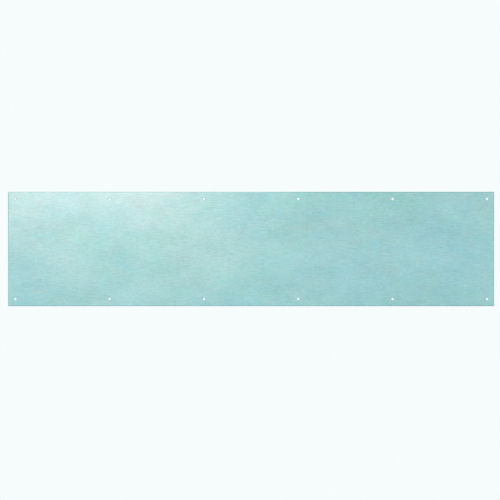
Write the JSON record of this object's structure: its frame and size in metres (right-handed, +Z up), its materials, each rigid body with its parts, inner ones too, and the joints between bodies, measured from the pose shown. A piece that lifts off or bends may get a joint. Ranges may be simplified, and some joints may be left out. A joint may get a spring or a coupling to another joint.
{
  "type": "door kick plate",
  "caption": "Flat rectangular sheet-metal door kick plate with a brushed satin face, bevelled edges and countersunk screw holes along its top and bottom edges.",
  "frame": {"origin": "middle of the back face, which lies on the door", "axes": "+X along the plate's length, to the right seen from the front; +Z up; +Y into the door, so the satin front face looks towards -Y"},
  "size_m": [0.8636, 0.0013, 0.2032],
  "materials": {
    "satin_metal": null
  },
  "bodies": {
    "root": {"kick_plate": "satin_metal"}
  },
  "joints": []
}
